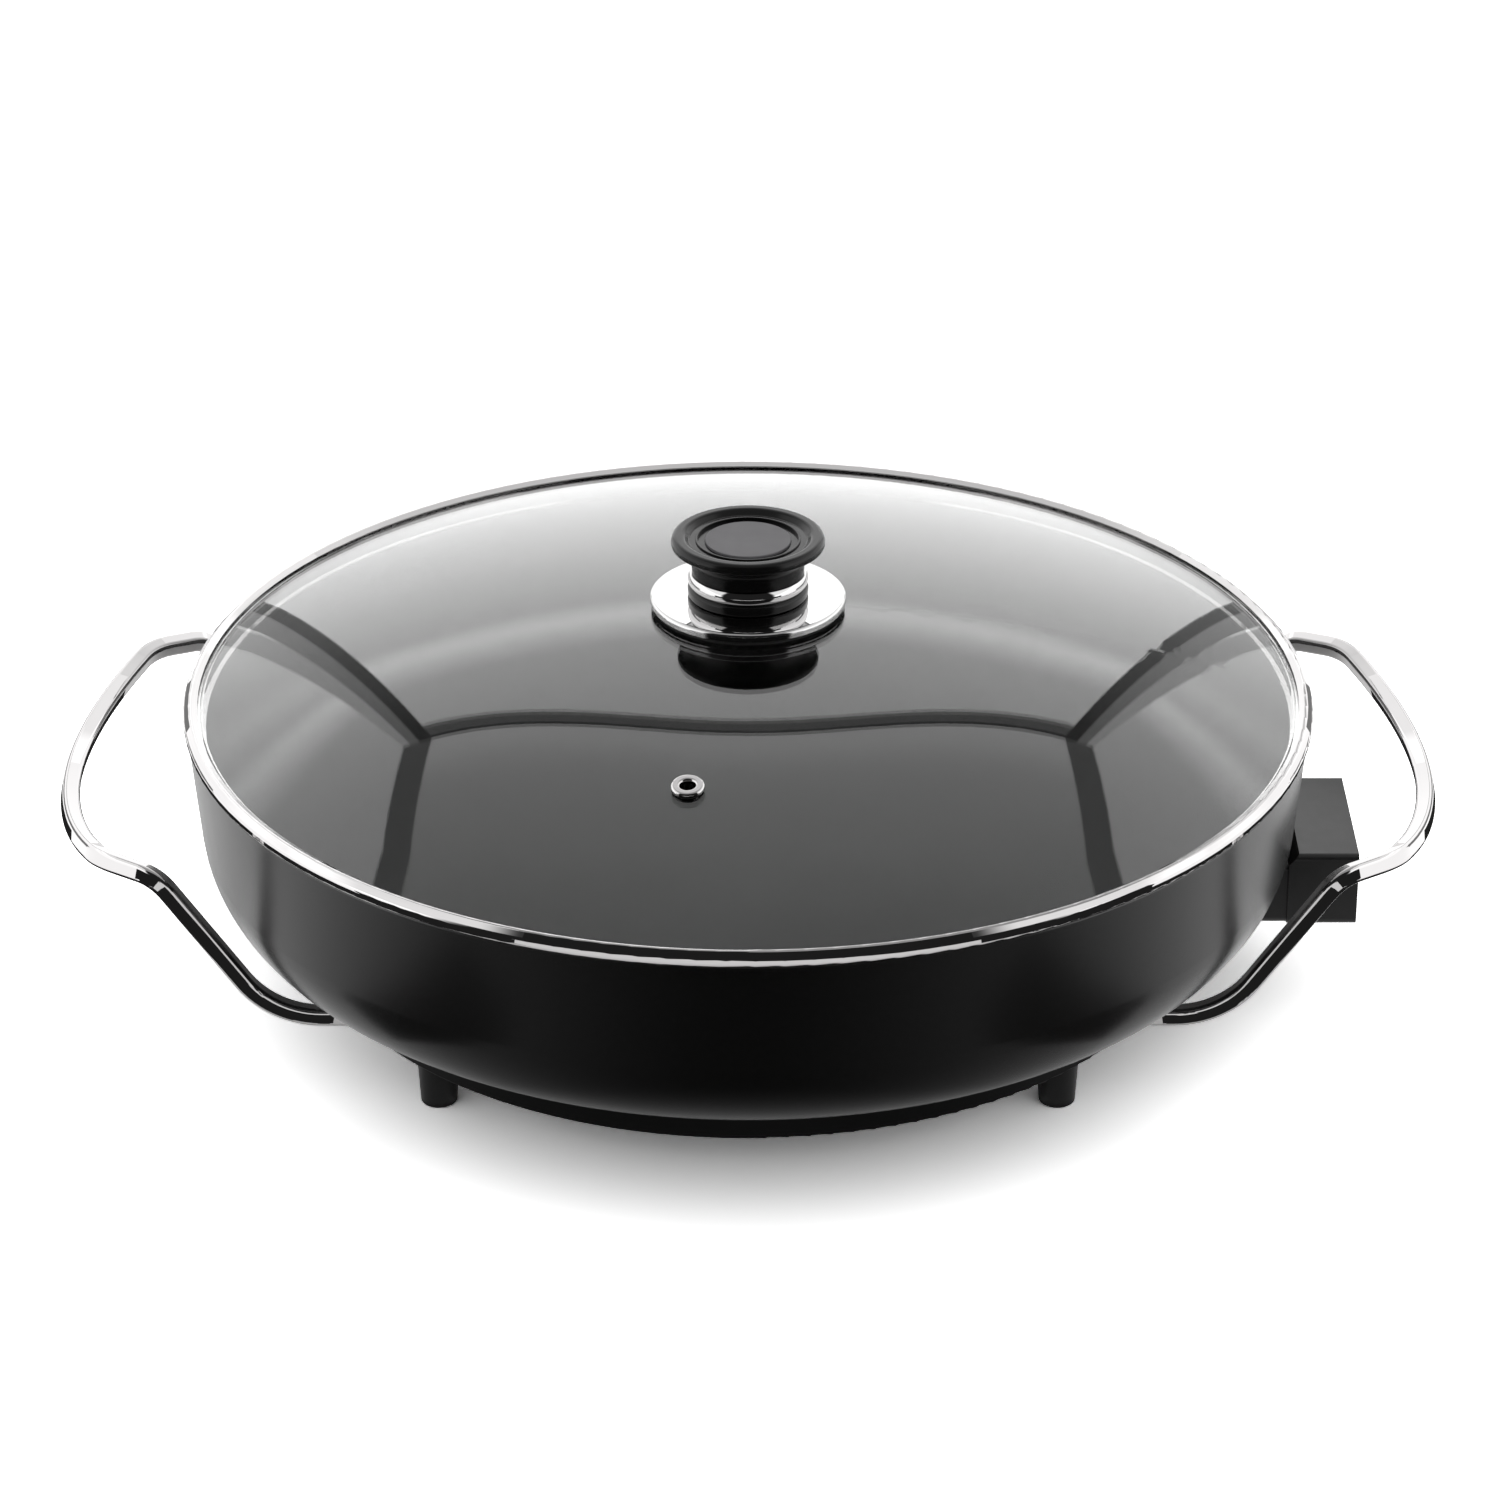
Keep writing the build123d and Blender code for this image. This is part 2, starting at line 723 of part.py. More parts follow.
def knob_collar():
    """The dark collar on the plate, with a spigot that centres the ring."""
    return turned([
        (screw_radius + screw_clearance, plate_top, 0),
        (collar_radius, plate_top, collar_rounding),
        (collar_radius, collar_top, collar_rounding),
        (spigot_radius, collar_top, 0),
        (spigot_radius, ring_top, 0),
        (screw_radius + screw_clearance, ring_top, 0),
    ])


def knob_ring():
    """The bright ring between collar and grip, bulged outwards."""
    inner = spigot_radius + ring_fit
    edge = collar_radius - ring_bulge
    middle = (collar_top + ring_top) / 2
    edges = [
        Edge.make_line((inner, 0, collar_top), (edge, 0, collar_top)),
        Edge.make_three_point_arc((edge, 0, collar_top), (collar_radius, 0, middle), (edge, 0, ring_top)),
        Edge.make_line((edge, 0, ring_top), (inner, 0, ring_top)),
        Edge.make_line((inner, 0, ring_top), (inner, 0, collar_top)),
    ]
    return revolve(make_face(Wire(edges)), Axis.Z)


def knob_grip():
    """The grip: a neck that flares into a beaded, dished cap."""
    bead_inner = cap_radius - cap_bead
    dish = cap_top - dish_depth
    badge_floor = cap_top - badge_drop - badge_height
    groove = badge_radius + badge_fit
    flare_radius = cap_radius - cap_bead / 2
    flare_level = ring_top + cap_neck_height + flare_rise
    body = turned([
        (0, ring_top, 0),
        (neck_radius, ring_top, neck_rounding),
        (neck_radius, ring_top + cap_neck_height, flare_bend),
        (flare_radius, flare_level, flare_edge_rounding),
        (cap_radius, flare_level + bead_lift, bead_foot_rounding),
        (cap_radius, cap_top, bead_outer_rounding),
        (bead_inner, cap_top, bead_inner_rounding),
        (bead_inner - dish_depth, dish, dish_rounding),
        (ridge_radius + ridge_width / 2, dish, 0),
        (ridge_radius + ridge_width / 2, dish + ridge_height, ridge_rounding),
        (ridge_radius - ridge_width / 2, dish + ridge_height, ridge_rounding),
        (ridge_radius - ridge_width / 2, dish - ridge_height, 0),
        (groove, dish - ridge_height, 0),
        (groove, badge_floor, 0),
        (0, badge_floor, 0),
    ])
    return body - rod(insert_radius + ring_fit, ring_top, insert_top)


def knob_badge():
    """The plain round inlay in the top of the grip."""
    floor = cap_top - badge_drop - badge_height
    body = rod(badge_radius, floor, floor + badge_height)
    return fillet(body.edges().group_by(Axis.Z)[-1], badge_rounding)


def knob_insert():
    """The threaded insert inside the grip."""
    body = rod(insert_radius, ring_top, insert_top)
    return body - rod(screw_radius + thread_clearance, ring_top, insert_top - insert_end)


def under_seal():
    """A soft washer under the glass."""
    top = dome_height(under_seal_radius, dome_radius - glass_thickness)
    body = rod(under_seal_radius, top - under_seal_height, top)
    return body - rod(screw_radius + screw_clearance, top - under_seal_height, top)


def knob_washer():
    """A steel washer between the screw's head and the soft washer."""
    top = dome_height(under_seal_radius, dome_radius - glass_thickness) - under_seal_height
    disc = rod(washer_radius, top - washer_height, top)
    return disc - rod(screw_radius + screw_clearance, top - washer_height, top)


def knob_screw():
    """The screw that holds the knob through the glass."""
    top = dome_height(under_seal_radius, dome_radius - glass_thickness)
    seat = top - under_seal_height - washer_height
    return screw(seat - screw_head_height, insert_top - insert_end - screw_clearance)


# All pieces by name
def all_pieces():
    pieces = {
        "pan_body": pan_body(),
        "heating_element": heating_element(),
        "bottom_cover": bottom_cover(),
        "cover_screw": screw(cover_bottom - screw_head_height, pan_bottom + screw_bite),
        "socket_base": socket_base(),
        "socket_hood": socket_hood(),
        "probe_tube": probe_tube(),
        "earth_contact": earth_contact(),
        "lid_rim_band": lid_rim_band(),
        "lid_glass": lid_glass(),
        "vent_eyelet": vent_eyelet(),
        "vent_washer": vent_washer(),
        "knob_seal": knob_seal(),
        "knob_plate": knob_plate(),
        "knob_collar": knob_collar(),
        "knob_ring": knob_ring(),
        "knob_grip": knob_grip(),
        "knob_badge": knob_badge(),
        "knob_insert": knob_insert(),
        "under_seal": under_seal(),
        "knob_washer": knob_washer(),
        "knob_screw": knob_screw(),
    }
    left = handle()
    pieces["handle_left"] = left
    pieces["handle_right"] = mirror(left, Plane.YZ)
    for name, side in (("front", -1), ("rear", 1)):
        pieces["terminal_pin_" + name] = terminal_pin(side)
        pieces["terminal_bead_" + name] = terminal_bead(side)
        pieces["socket_screw_" + name] = socket_screw(side)
    for number, angle in enumerate(clip_angles, start=1):
        pieces["element_clip_" + str(number)] = element_clip(angle)
    for name, (x, y) in foot_points().items():
        pieces["foot_" + name] = Pos(x, y, 0) * foot()
        pieces["foot_spacer_" + name] = Pos(x, y, 0) * spacer()
        head = foot_recess_depth - screw_head_height
        pieces["foot_screw_" + name] = Pos(x, y, 0) * screw(head, pan_bottom + screw_bite)
    return pieces


os.makedirs("parts", exist_ok=True)
for piece_name, piece in all_pieces().items():
    solids = piece.solids()
    if len(solids) != 1:
        print(piece_name, "has", len(solids), "solids")
    solid = solids[0]
    solid.label = piece_name
    export_step(solid, os.path.join("parts", piece_name + ".step"))
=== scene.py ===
import json
import math

import bpy
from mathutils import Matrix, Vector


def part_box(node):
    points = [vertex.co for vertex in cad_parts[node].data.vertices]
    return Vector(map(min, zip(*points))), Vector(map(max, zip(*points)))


# Looks of an electric pizza pan: satin black pan, clear lid in a polished rim, bright bar handles.
# Metres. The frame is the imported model's own: the floor is z = 0, +X is the socket side, -Y is the front.

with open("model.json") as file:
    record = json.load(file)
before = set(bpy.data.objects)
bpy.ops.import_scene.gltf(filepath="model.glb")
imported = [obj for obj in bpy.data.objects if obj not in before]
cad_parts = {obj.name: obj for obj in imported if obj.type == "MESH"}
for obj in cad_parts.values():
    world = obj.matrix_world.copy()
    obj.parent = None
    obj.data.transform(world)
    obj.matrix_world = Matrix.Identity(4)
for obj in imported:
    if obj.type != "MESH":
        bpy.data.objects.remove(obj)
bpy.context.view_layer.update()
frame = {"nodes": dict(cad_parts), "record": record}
nodes = frame["nodes"]

# Camera, solved from the lid rim's ellipse in the photograph: pixels, millimetres for the sensor, degrees
photo_side = 1500
focal_pixels = 5155
sensor_width = 36.0
camera_place = (0.0007, -1.6647, 0.9267)
camera_pitch = 26.62

# Sizes that the materials read from the model, and how far down the pan's edge is rubbed
pan_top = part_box("pan_body")[1].z
rubbed_depth = 0.0007

# Floor and light. The world's light rises from low to high between two slopes of the sky
floor_size = 12.0
floor_colour = 0.9
floor_shown_colour = 2.2
low_light = 0.62
high_light = 1.2
low_light_end = 0.26
high_light_start = 0.5
world_shown = 1.0

# Light tent round the object, read from its image in the lid
tent_half_width = 0.354
tent_back = 0.60
tent_front = -0.36
side_front = -0.46
tent_corner_height = 0.679
tent_crown_height = 0.812
hem_width = 0.050
hem_edge = 0.010
ridge_width = 0.008
opening_foot = 0.10
layer = 0.001
arch_steps = 24

# Edges of the seams from the middle to the side: at the back corner's foot and head, and under the eave
corner_feet = (0.310, 0.322, 0.343)
corner_heads = (0.341, 0.356, 0.367)
eave_edges = (0.342, 0.375)

# Bands at the foot of the side cloths: where they start and end along Y, and their lower and upper edge
skirting_depths = (0.05, 0.60)
skirting_heights = (0.07, 0.135)
front_foot_depths = (-1.2, -0.20)
front_foot_heights = (0.0, 0.15)

# A seam shows only in mirrors that are farther away than its reach, which changes between two heights
hem_heights = (0.63, 0.812)
hem_reaches = (0.845, 0.918)
corner_heights = (0.50, 0.56)
corner_reaches = (0.0, 0.78)

# The side cloths fade between two places along Y, from the first share of their glow to the second
side_fade_depths = (-0.37, -0.29)
side_fade_shares = (0.05, 1.0)

# Directions in which the tent's brightness changes
upwards = (0.0, 0.0, 1.0)
backwards = (0.0, 1.0, 0.0)
side_slant = (0.0, -0.32, 1.0)

# Brightness of the tent: pairs of a place along the direction and the brightness there
side_glow = ((0.18, 1.6), (0.22, 1.85), (0.265, 1.65), (0.295, 2.15), (0.36, 1.33), (0.6, 1.25))
back_glow = ((0.0, 1.5), (0.25, 1.65), (0.40, 1.58), (0.44, 2.25), (0.515, 1.45))
roof_glow = ((0.08, 0.45), (0.12, 0.6), (0.27, 0.8), (0.47, 0.97), (0.56, 1.2))
corner_dark_glow = ((0.30, 0.30), (0.62, 0.10))
corner_grey_glow = ((0.30, 0.65), (0.62, 0.45))
hem_edge_glow = 0.6
hem_glow = 0.28
dark_glow = 0.02

# Dark floor round the white middle and by the handles' front legs, and floor that darkens to the front
white_floor_radius = 0.25
dark_floor_radius = 0.5
white_front_angle = 35.0
leg_card_low = (0.15, -0.245)
leg_card_high = (0.225, -0.125)
card_start = 0.14
card_near_end = 0.23
card_end = 1.3
card_near_glow = 0.25
ring_steps = 48


def grey(level):
    """A colour without a tint."""
    return level, level, level


class Nodes:
    """The nodes of a material or a world, and the few patterns that the finishes and the studio share."""

    def __init__(self, owner):
        owner.use_nodes = True
        self.owner = owner
        self.tree = owner.node_tree

    def node(self, kind, *inputs, **settings):
        """A new node. Each input is a value or another node's output, in the node's own order."""
        made = self.tree.nodes.new("ShaderNode" + kind)
        for key, value in settings.items():
            setattr(made, key, value)
        for socket, given in zip(made.inputs, inputs):
            if isinstance(given, bpy.types.NodeSocket):
                self.tree.links.new(given, socket)
            elif given is not None:
                socket.default_value = given
        return made

    def math(self, operation, *inputs):
        return self.node("Math", *inputs, operation=operation).outputs[0]

    def vector_math(self, operation, *inputs, output="Vector"):
        return self.node("VectorMath", *inputs, operation=operation).outputs[output]

    def spread(self, value, given, wanted, curve="SMOOTHSTEP"):
        """The value moved from a given range to a wanted one, and held at its ends."""
        return self.node("MapRange", value, *given, *wanted, interpolation_type=curve).outputs[0]

    def object_places(self):
        """Places in the object's own coordinates."""
        return self.node("TexCoord").outputs["Object"]

    def axes(self, places):
        """The three parts of a place."""
        return self.node("SeparateXYZ", places).outputs

    def length(self, first, second):
        """The length of a step of two parts."""
        squares = [self.math("POWER", part, 2.0) for part in (first, second)]
        return self.math("SQRT", self.math("ADD", *squares))


class Surface(Nodes):
    """The Principled material of one material slot, in the object's own coordinates."""

    def __init__(self, slot, colour, roughness, metallic=0.0, specular=0.5):
        super().__init__(bpy.data.materials.new(slot))
        self.slot = slot
        self.shader = self.tree.nodes["Principled BSDF"]
        self.set("Base Color", (*colour, 1.0))
        self.set("Roughness", roughness)
        self.set("Metallic", metallic)
        self.set("Specular IOR Level", specular)
        self.places = self.object_places()

    def set(self, socket, value):
        self.shader.inputs[socket].default_value = value

    def link(self, output, socket):
        self.tree.links.new(output, self.shader.inputs[socket])

    def noise(self, scale, detail=2.0, places=None):
        made = self.node("TexNoise")
        made.inputs["Scale"].default_value = scale
        made.inputs["Detail"].default_value = detail
        self.tree.links.new(places or self.places, made.inputs["Vector"])
        return made.outputs["Fac"]

    def blend(self, share, first, second):
        """One colour where the share is 0 and another where it is 1."""
        made = self.node("Mix", share, data_type="RGBA")
        colours = [socket for socket in made.inputs if socket.type == "RGBA"]
        for socket, given in zip(colours, (first, second)):
            if isinstance(given, bpy.types.NodeSocket):
                self.tree.links.new(given, socket)
            else:
                socket.default_value = (*given, 1.0)
        return next(socket for socket in made.outputs if socket.type == "RGBA")

    def bump(self, height, depth, strength):
        made = self.node("Bump")
        made.inputs["Strength"].default_value = strength
        made.inputs["Distance"].default_value = depth
        self.tree.links.new(height, made.inputs["Height"])
        self.link(made.outputs["Normal"], "Normal")

    def turned_places(self, round_share):
        """Coordinates for marks that run round the Z axis: radius, height and a small share of the angle."""
        parts = self.axes(self.places)
        radius = self.length(parts[0], parts[1])
        angle = self.math("ARCTAN2", parts[1], parts[0])
        return self.node("CombineXYZ", radius, parts[2], self.math("MULTIPLY", angle, round_share)).outputs[0]


# Finishes
def pan_coating():
    """Black coating: glossy enamel outside, a dull non-stick coat inside and a rubbed rim edge."""
    surface = Surface("pan_coating", grey(0.003), roughness=0.5, specular=0.08)
    over_pan = surface.vector_math("SUBTRACT", (0.0, 0.0, 3 * pan_top), surface.places)
    normal = surface.node("NewGeometry").outputs["Normal"]
    to_inside = surface.vector_math("NORMALIZE", over_pan)
    facing = surface.vector_math("DOT_PRODUCT", normal, to_inside, output="Value")
    inside = surface.spread(facing, (-0.05, 0.15), (0.0, 1.0))
    speckle = surface.spread(surface.noise(scale=2600.0, detail=3.0), (0.45, 0.75), (0.0, 1.0))
    outer = surface.blend(speckle, grey(0.001), grey(0.003))
    inner = surface.blend(speckle, grey(0.0006), grey(0.002))
    coat = surface.blend(inside, outer, inner)
    height = surface.axes(surface.places)[2]
    edge = surface.spread(height, (pan_top - rubbed_depth, pan_top), (0.0, 0.6))
    patches = surface.spread(surface.noise(scale=60.0, detail=4.0), (0.35, 0.65), (0.2, 1.0))
    rubbed = surface.math("MULTIPLY", edge, patches)
    surface.link(surface.blend(rubbed, coat, (0.09, 0.088, 0.085)), "Base Color")
    uneven = surface.spread(surface.noise(scale=14.0, detail=3.0), (0.3, 0.7), (0.46, 0.54))
    surface.link(uneven, "Roughness")
    surface.link(surface.math("SUBTRACT", 1.0, inside), "Coat Weight")
    surface.set("Coat Roughness", 0.25)
    surface.set("Coat IOR", 1.5)
    surface.bump(surface.noise(scale=1500.0), depth=0.00002, strength=0.35)
    return surface


def cover_paint():
    """Satin black paint on sheet steel, with a faint orange peel."""
    surface = Surface("cover_paint", grey(0.004), roughness=0.5, specular=0.1)
    patches = surface.noise(scale=30.0, detail=4.0)
    surface.link(surface.blend(patches, grey(0.003), grey(0.006)), "Base Color")
    surface.link(surface.spread(patches, (0.3, 0.7), (0.44, 0.55)), "Roughness")
    surface.bump(surface.noise(scale=700.0), depth=0.00004, strength=0.4)
    return surface


def moulded_plastic(slot, dark, light, roughness, grain, depth, specular):
    """Moulded plastic with a fine spark grain."""
    surface = Surface(slot, dark, roughness, specular=specular)
    surface.link(surface.blend(surface.noise(scale=90.0, detail=4.0), dark, light), "Base Color")
    uneven = surface.noise(scale=220.0, detail=3.0)
    surface.link(surface.spread(uneven, (0.3, 0.7), (roughness - 0.02, roughness + 0.02)), "Roughness")
    surface.bump(surface.noise(grain), depth, strength=0.5)
    return surface


def bright_bar():
    """Chrome on bent bar: mirror bright with a faint grey veil and polishing waves."""
    surface = Surface("handle_chrome", (0.56, 0.55, 0.55), roughness=0.0, metallic=1.0)
    veil = surface.noise(scale=45.0, detail=5.0)
    surface.link(surface.blend(veil, (0.54, 0.53, 0.53), (0.58, 0.57, 0.57)), "Base Color")
    surface.bump(surface.noise(scale=120.0, detail=1.0), depth=0.00001, strength=0.1)
    return surface


def turned_metal(slot, dark, light, lines):
    """Polished metal with faint marks that run round the lid's axis."""
    surface = Surface(slot, light, roughness=0.0, metallic=1.0)
    marks = surface.noise(lines, detail=3.0, places=surface.turned_places(round_share=0.002))
    surface.link(surface.blend(marks, dark, light), "Base Color")
    return surface


def clear_glass():
    """Clear glass with a slight grey-green tint that is a little uneven."""
    surface = Surface("lid_glass", (0.985, 0.992, 0.99), roughness=0.0)
    surface.set("Transmission Weight", 1.0)
    surface.set("IOR", 1.5)
    tint = surface.noise(scale=8.0, detail=3.0)
    surface.link(surface.blend(tint, (0.975, 0.985, 0.98), (0.99, 0.995, 0.993)), "Base Color")
    return surface


def plain_metal(slot, dark, light, smooth, rough):
    """Dull metal with cloudy stains."""
    surface = Surface(slot, light, rough, metallic=1.0)
    clouds = surface.noise(scale=120.0, detail=5.0)
    stains = surface.spread(clouds, (0.35, 0.65), (0.0, 1.0))
    surface.link(surface.blend(stains, dark, light), "Base Color")
    surface.link(surface.spread(clouds, (0.3, 0.7), (smooth, rough)), "Roughness")
    surface.bump(surface.noise(scale=900.0), depth=0.00002, strength=0.3)
    return surface


def soft_rubber():
    """Black silicone with a dusty bloom."""
    surface = Surface("seal_rubber", grey(0.008), roughness=0.7, specular=0.3)
    bloom = surface.noise(scale=350.0, detail=4.0)
    surface.link(surface.blend(bloom, grey(0.006), grey(0.02)), "Base Color")
    surface.bump(bloom, depth=0.00003, strength=0.4)
    return surface


def white_ceramic():
    """Unglazed ceramic with small pits."""
    surface = Surface("bead_ceramic", (0.8, 0.78, 0.72), roughness=0.65)
    pits = surface.noise(scale=1400.0, detail=4.0)
    surface.link(surface.blend(pits, (0.68, 0.65, 0.58), (0.86, 0.84, 0.79)), "Base Color")
    surface.bump(pits, depth=0.00005, strength=0.5)
    return surface


def plastic_finishes():
    """The black plastics of the feet, the socket and the knob, and the knob's grey inlay."""
    return [
        moulded_plastic("foot_plastic", grey(0.004), grey(0.009),
                        roughness=0.4, grain=2600.0, depth=0.00003, specular=0.3),
        moulded_plastic("socket_plastic", grey(0.005), grey(0.009),
                        roughness=0.3, grain=2200.0, depth=0.00002, specular=0.4),
        moulded_plastic("knob_plastic", grey(0.002), grey(0.004),
                        roughness=0.2, grain=2400.0, depth=0.00001, specular=0.25),
        moulded_plastic("badge_plastic", (0.1, 0.098, 0.103), (0.12, 0.118, 0.123),
                        roughness=0.55, grain=2400.0, depth=0.00002, specular=0.3),
    ]


def metal_finishes():
    """The bright metals that show, and the dull ones under the pan and in the socket."""
    return [
        bright_bar(),
        turned_metal("rim_steel", (0.54, 0.53, 0.53), (0.6, 0.59, 0.59), lines=2000.0),
        turned_metal("knob_chrome", (0.58, 0.575, 0.575), (0.62, 0.615, 0.615), lines=3000.0),
        plain_metal("element_steel", (0.16, 0.14, 0.12), (0.36, 0.34, 0.32), smooth=0.35, rough=0.55),
        plain_metal("screw_steel", (0.48, 0.47, 0.45), (0.62, 0.61, 0.59), smooth=0.25, rough=0.4),
        plain_metal("pin_steel", (0.6, 0.59, 0.57), (0.74, 0.73, 0.71), smooth=0.15, rough=0.28),
        plain_metal("contact_brass", (0.6, 0.43, 0.17), (0.8, 0.62, 0.3), smooth=0.2, rough=0.35),
    ]


def all_finishes():
    """One material for each of the model's material slots, by the slot's name."""
    others = [pan_coating(), cover_paint(), clear_glass(), soft_rubber(), white_ceramic()]
    return {surface.slot: surface.owner for surface in others + plastic_finishes() + metal_finishes()}


def dress_model():
    """Gives each node of the model the material of its slot."""
    finishes = all_finishes()
    for part in frame["record"]["subparts"]:
        mesh = nodes[part["node"]].data
        mesh.materials.clear()
        mesh.materials.append(finishes[part["material_slot"]])


# Studio
def stage_mesh(name, corners, faces, material):
    """A mesh of the studio, which is no part of the object."""
    mesh = bpy.data.meshes.new(name)
    mesh.from_pydata(corners, [], faces)
    mesh.materials.append(material)
    item = bpy.data.objects.new(name, mesh)
    bpy.context.scene.collection.objects.link(item)
    return item


def only_in_reflections(item):
    """Glossy and clear pieces mirror it, but it throws no shadow and the camera doesn't see it."""
    item.visible_camera = False
    item.visible_diffuse = False
    item.visible_shadow = False
    item.visible_volume_scatter = False


class Studio(Nodes):
    """A material or a world of the studio, which starts empty."""

    def __init__(self, owner, output="OutputMaterial"):
        super().__init__(owner)
        self.tree.nodes.clear()
        self.end = self.node(output).inputs["Surface"]

    def shader(self, kind, *inputs):
        return self.node(kind, *inputs).outputs[0]

    def finish(self, shader):
        self.tree.links.new(shader, self.end)

    def light_path(self, output):
        return self.node("LightPath").outputs[output]

    def seen(self):
        """1 where the background is seen directly or through glass, and 0 for its light."""
        return self.math("MAXIMUM", self.light_path("Is Camera Ray"), self.light_path("Is Transmission Ray"))

    def seen_or_mirrored(self):
        """1 where the background is seen directly, in a mirror or through glass, and 0 for its light."""
        return self.math("MAXIMUM", self.seen(), self.light_path("Is Glossy Ray"))

    def from_far(self, reach):
        """1 for what a mirror shows from farther away than the reach."""
        return self.math("GREATER_THAN", self.light_path("Ray Length"), reach)

    def in_mirror(self):
        """1 for what bright metal and glass mirror, and 0 for what half-gloss pieces do."""
        return self.light_path("Is Singular Ray")

    def glow(self, level, share=1.0):
        """A glow that only reflections show, in a given share. A look straight through glass doesn't."""
        reflected = self.math("GREATER_THAN", self.light_path("Glossy Depth"), 0.5)
        shown = self.math("MULTIPLY", reflected, share)
        glow = self.shader("Emission", None, level)
        self.finish(self.shader("MixShader", shown, self.shader("BsdfTransparent"), glow))


def studio_material(name):
    """The empty nodes of a new material of the studio."""
    return Studio(bpy.data.materials.new(name))


def cloth(name, level, in_mirrors_only=False):
    """An even glow. Half-gloss pieces don't show it if it is for mirrors only."""
    studio = studio_material(name)
    studio.glow(level, studio.in_mirror() if in_mirrors_only else 1.0)
    return studio.owner


def shaded_level(studio, direction, levels):
    """A brightness along a direction, from pairs of a place along it and the brightness there."""
    along = studio.vector_math("DOT_PRODUCT", studio.object_places(), direction, output="Value")
    level = levels[0][1]
    for (start, low), (end, high) in zip(levels, levels[1:]):
        step = studio.spread(along, (start, end), (0.0, high - low), "LINEAR")
        level = studio.math("ADD", level, step)
    return level


def shaded_cloth(name, direction, levels, fade=None):
    """A glow that changes along a direction, and also fades along Y if a fade is given."""
    studio = studio_material(name)
    level = shaded_level(studio, direction, levels)
    if fade:
        depth = studio.axes(studio.object_places())[1]
        level = studio.math("MULTIPLY", level, studio.spread(depth, *fade))
    studio.glow(level)
    return studio.owner


def seam_cloth(name, levels, heights, reaches):
    """A seam of the tent. Only mirrors beyond its reach show it, and the reach changes with height."""
    studio = studio_material(name)
    height = studio.axes(studio.object_places())[2]
    far = studio.from_far(studio.spread(height, heights, reaches, "LINEAR"))
    studio.glow(shaded_level(studio, upwards, levels), far)
    return studio.owner


def strip(name, first_edge, second_edge, material):
    """A sheet between two lines of points, which only reflections show."""
    count = len(first_edge)
    faces = [(i, i + 1, count + i + 1, count + i) for i in range(count - 1)]
    only_in_reflections(stage_mesh(name, first_edge + second_edge, faces, material))


def tent_arch(x):
    """Height of the tent's roof across its width."""
    rise = (1 + math.cos(math.pi * x / tent_half_width)) / 2
    return tent_corner_height + (tent_crown_height - tent_corner_height) * rise


def arch_line(y, drop=0.0):
    """Points along the roof's arch, or a given drop under it."""
    across = [tent_half_width * (2 * i / arch_steps - 1) for i in range(arch_steps + 1)]
    return [(x, y, tent_arch(x) - drop) for x in across]


def floor_line(y, height):
    """Points across the tent's width, one under each point of the arch."""
    return [(x, y, height) for x, _, _ in arch_line(y)]


def ring_line(radius, start, end, height):
    """Points on a round line on the floor. Angles run from the front, in degrees."""
    angles = [math.radians(start + (end - start) * i / ring_steps - 90) for i in range(ring_steps + 1)]
    return [(radius * math.cos(angle), radius * math.sin(angle), height) for angle in angles]


def tent_back_wall():
    """The back cloth, its hem and the dark ridge over it."""
    behind = tent_back + layer
    back_cloth = shaded_cloth("tent_back", upwards, back_glow)
    strip("tent_back", floor_line(behind, 0.0), arch_line(behind), back_cloth)
    drops = (hem_width, hem_width - hem_edge, ridge_width, 0.0)
    lines = [arch_line(tent_back, drop) for drop in drops]
    seams = (("hem_edge", hem_edge_glow), ("hem", hem_glow), ("ridge", dark_glow))
    for (name, level), low, high in zip(seams, lines, lines[1:]):
        strip(name, low, high, seam_cloth(name, ((0.0, level),), hem_heights, hem_reaches))


def tent_roof():
    """The roof cloth, which gets darker towards the open front."""
    roof_cloth = shaded_cloth("tent_roof", backwards, roof_glow)
    strip("tent_roof", arch_line(tent_back), arch_line(tent_front), roof_cloth)


def tent_side(side):
    """One side cloth with its eave, the seams at its back corner and the bands at its foot."""
    depth = (tent_back, side_front)
    wall = side * (eave_edges[1] + layer)
    wall_lines = [[(wall, y, height) for y in depth] for height in (0.0, tent_corner_height)]
    side_cloth = shaded_cloth("tent_side", side_slant, side_glow, (side_fade_depths, side_fade_shares))
    strip("tent_side", *wall_lines, side_cloth)
    eave_lines = [[(side * edge, y, tent_corner_height - layer) for y in depth] for edge in eave_edges]
    strip("eave", *eave_lines, cloth("eave", hem_glow))
    corner_seams(side)
    foot_bands(side)


def corner_seams(side):
    """The dark and the grey seam at the back corner of one side."""
    before = tent_back - layer
    lines = [[(side * foot, before, 0.0), (side * head, before, tent_corner_height)]
             for foot, head in zip(corner_feet, corner_heads)]
    seams = (("corner_dark", corner_dark_glow), ("corner_grey", corner_grey_glow))
    for (name, levels), inner, outer in zip(seams, lines, lines[1:]):
        strip(name, inner, outer, seam_cloth(name, levels, corner_heights, corner_reaches))


def foot_bands(side):
    """The grey skirting and the dark front band of one side, for mirrors only."""
    inner = side * eave_edges[1]
    skirting = (skirting_depths, skirting_heights, hem_glow)
    front_foot = (front_foot_depths, front_foot_heights, dark_glow)
    for depths, heights, level in (skirting, front_foot):
        lines = [[(inner, y, height) for y in depths] for height in heights]
        strip("side_foot", *lines, cloth("side_foot", level, in_mirrors_only=True))


def tent_opening():
    """The dark open side at the front of the tent."""
    opening_cloth = cloth("opening", dark_glow)
    strip("opening", floor_line(tent_front, opening_foot), arch_line(tent_front), opening_cloth)


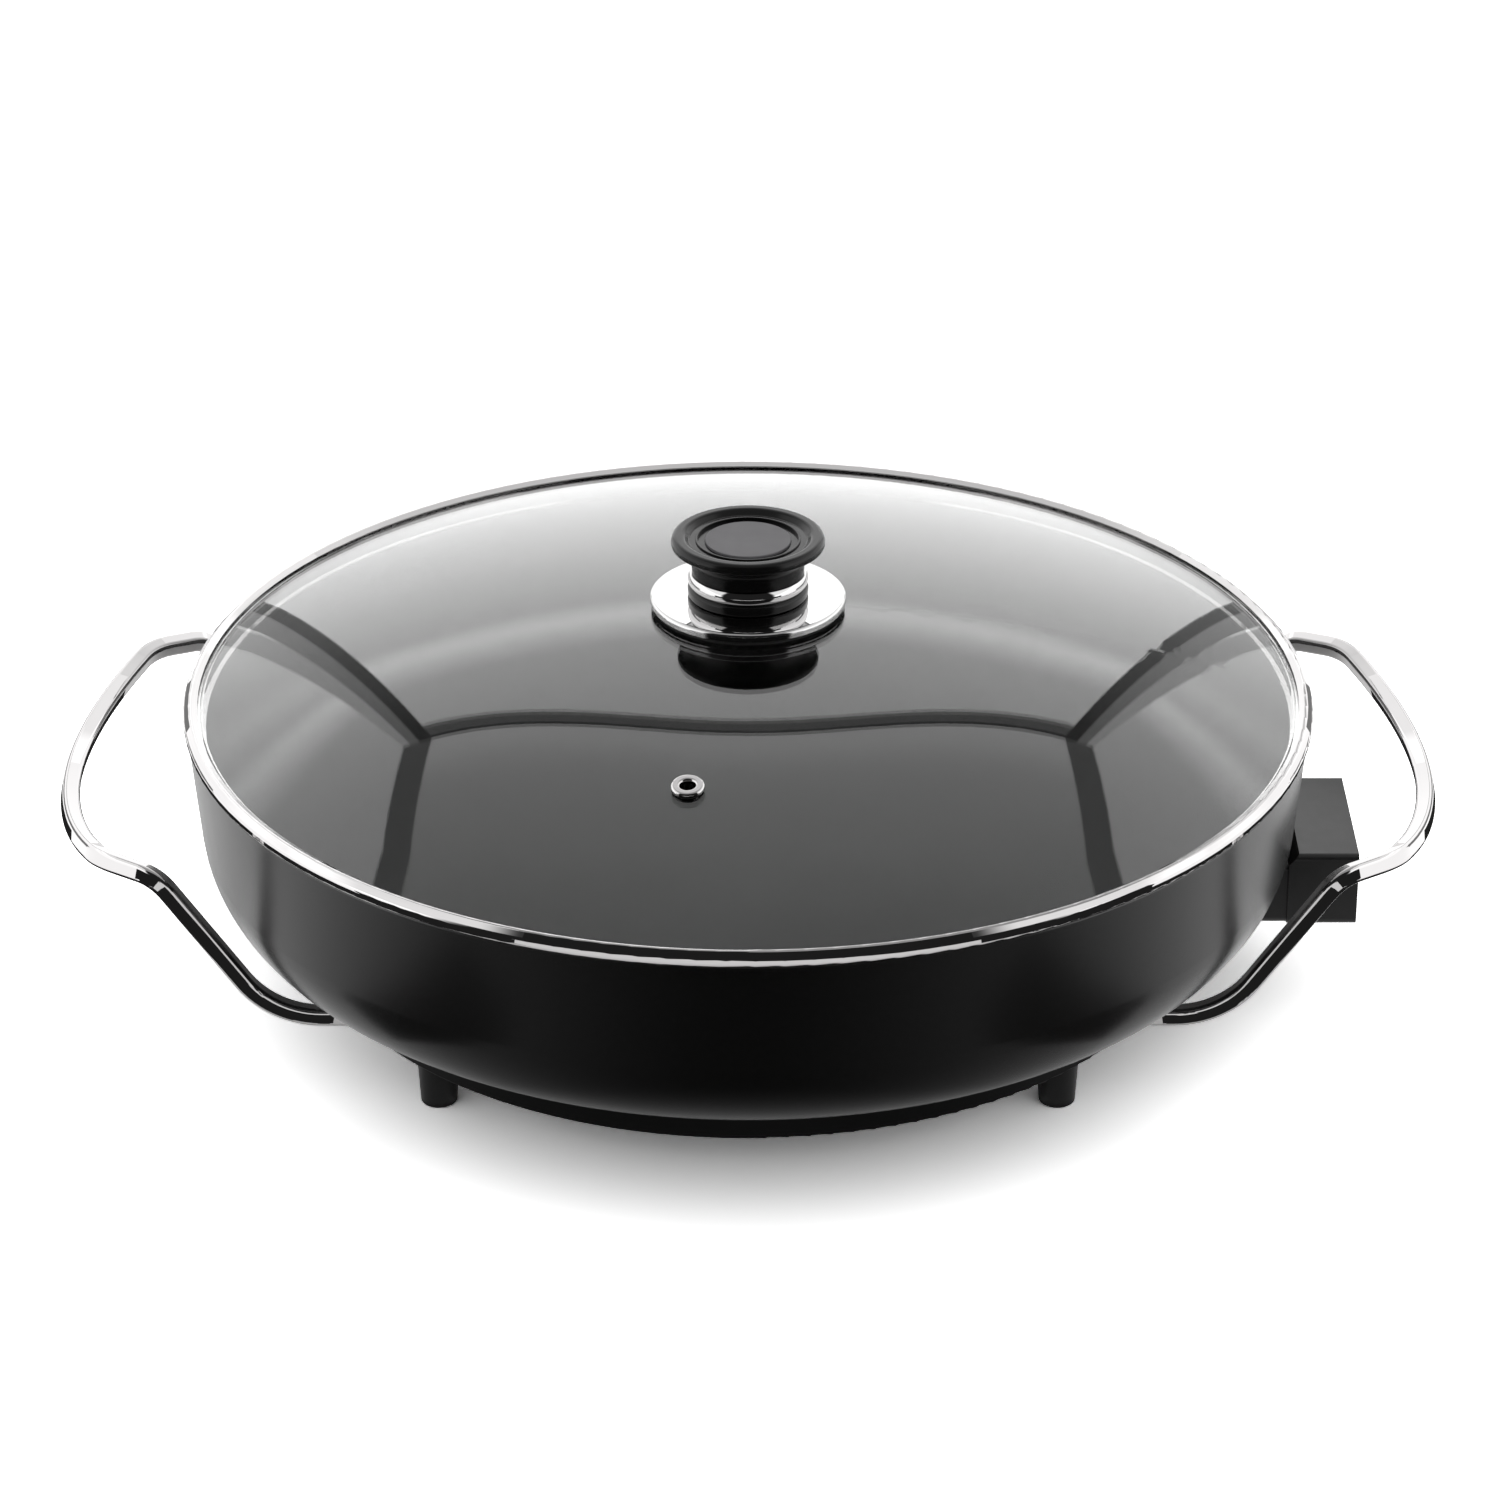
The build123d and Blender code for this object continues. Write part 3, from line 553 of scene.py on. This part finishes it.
def dark_floor():
    """The dark floor round the white middle, and the dark spots by the handles' front legs."""
    ends = (white_front_angle, 360 - white_front_angle)
    rings = [ring_line(radius, *ends, layer) for radius in (white_floor_radius, dark_floor_radius)]
    strip("dark_floor", *rings, cloth("dark_floor", dark_glow, in_mirrors_only=True))
    for side in (-1, 1):
        lines = [[(side * x, y, 3 * layer) for x in (leg_card_low[0], leg_card_high[0])]
                 for y in (leg_card_low[1], leg_card_high[1])]
        strip("leg_card", *lines, cloth("leg_card", dark_glow))


def front_floor():
    """Floor that gets darker towards the open front. Half-gloss pieces mirror it and mirrors don't."""
    studio = studio_material("front_floor")
    place = studio.axes(studio.object_places())
    radius = studio.length(place[0], place[1])
    to_the_side = studio.math("ADD", studio.math("DIVIDE", place[1], radius), 1.0 + dark_glow)
    near = studio.spread(radius, (card_start, card_near_end), (card_near_glow, dark_glow))
    half_gloss = studio.math("SUBTRACT", 1.0, studio.in_mirror())
    studio.glow(studio.math("MAXIMUM", to_the_side, near), half_gloss)
    rings = [ring_line(reach, -90, 90, 2 * layer) for reach in (card_start, card_end)]
    strip("front_floor", *rings, studio.owner)


def plain_floor():
    """A wide pale floor that keeps the object's soft shadow."""
    studio = studio_material("floor")
    levels = (floor_colour, floor_shown_colour)
    paints = [studio.shader("BsdfDiffuse", (*grey(level), 1.0)) for level in levels]
    studio.finish(studio.shader("MixShader", studio.seen(), *paints))
    half = floor_size / 2
    corners = [(-half, -half, 0), (half, -half, 0), (half, half, 0), (-half, half, 0)]
    stage_mesh("floor", corners, [(0, 1, 2, 3)], studio.owner)


def white_world():
    """Even light that comes mostly from above, and full white where it is seen or mirrored."""
    world = bpy.data.worlds.new("studio")
    bpy.context.scene.world = world
    studio = Studio(world, "OutputWorld")
    rise = studio.axes(studio.node("TexCoord").outputs["Generated"])[2]
    light = studio.spread(rise, (low_light_end, high_light_start), (low_light, high_light))
    white = (*grey(1.0), 1.0)
    views = [studio.shader("Background", white, level) for level in (light, world_shown)]
    studio.finish(studio.shader("MixShader", studio.seen_or_mirrored(), *views))


def photo_camera():
    """The photograph's view."""
    data = bpy.data.cameras.new("photo")
    data.sensor_width = sensor_width
    data.lens = sensor_width * focal_pixels / photo_side
    camera = bpy.data.objects.new("photo", data)
    bpy.context.scene.collection.objects.link(camera)
    camera.location = camera_place
    camera.rotation_euler = (math.radians(90 - camera_pitch), 0, 0)
    bpy.context.scene.camera = camera


dress_model()
plain_floor()
white_world()
tent_back_wall()
tent_roof()
for side in (-1, 1):
    tent_side(side)
tent_opening()
dark_floor()
front_floor()
photo_camera()
bpy.context.scene.view_settings.view_transform = "Standard"
